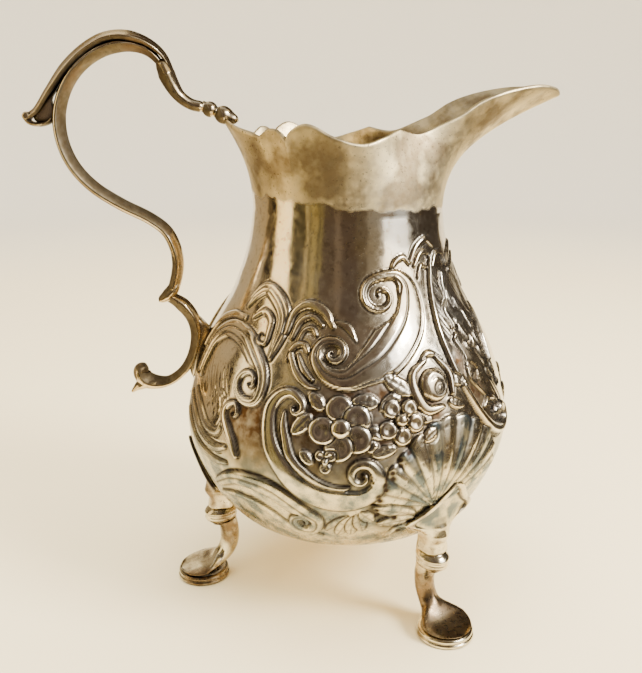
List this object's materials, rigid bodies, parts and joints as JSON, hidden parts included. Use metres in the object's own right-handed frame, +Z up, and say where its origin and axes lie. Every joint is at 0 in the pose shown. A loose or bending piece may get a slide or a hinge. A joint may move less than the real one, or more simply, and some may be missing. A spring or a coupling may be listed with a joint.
{
  "type": "cream jug",
  "caption": "Small pear-shaped silver cream jug with chased scrolls and flowers, wavy rim, long pouring lip, scroll handle and pad feet on cabriole legs.",
  "frame": {"origin": "on the table surface, under the middle of the whole jug's bounding box", "axes": "+X towards the pouring lip, -X towards the handle, +Y to the left with the lip ahead, +Z up"},
  "size_m": [0.1016, 0.065, 0.1111],
  "materials": {
    "body_silver": "polished raised silver with warm tarnish, dark in the chased grooves",
    "handle_silver": "cast silver, softly polished, brown in the hollows",
    "leg_silver": "cast silver, polished, brown in the hollows"
  },
  "bodies": {
    "root": {"body": "body_silver", "handle_main_scroll": "handle_silver", "handle_leaf_spur": "handle_silver", "handle_rim_neck": "handle_silver", "handle_rim_beads": "handle_silver", "handle_lower_scroll": "handle_silver", "back_leg_shield": "leg_silver", "back_leg_knuckle": "leg_silver", "back_leg_shank": "leg_silver", "back_leg_sole": "leg_silver", "right_leg_shield": "leg_silver", "right_leg_knuckle": "leg_silver", "right_leg_shank": "leg_silver", "right_leg_sole": "leg_silver", "left_leg_shield": "leg_silver", "left_leg_knuckle": "leg_silver", "left_leg_shank": "leg_silver", "left_leg_sole": "leg_silver"}
  },
  "joints": []
}
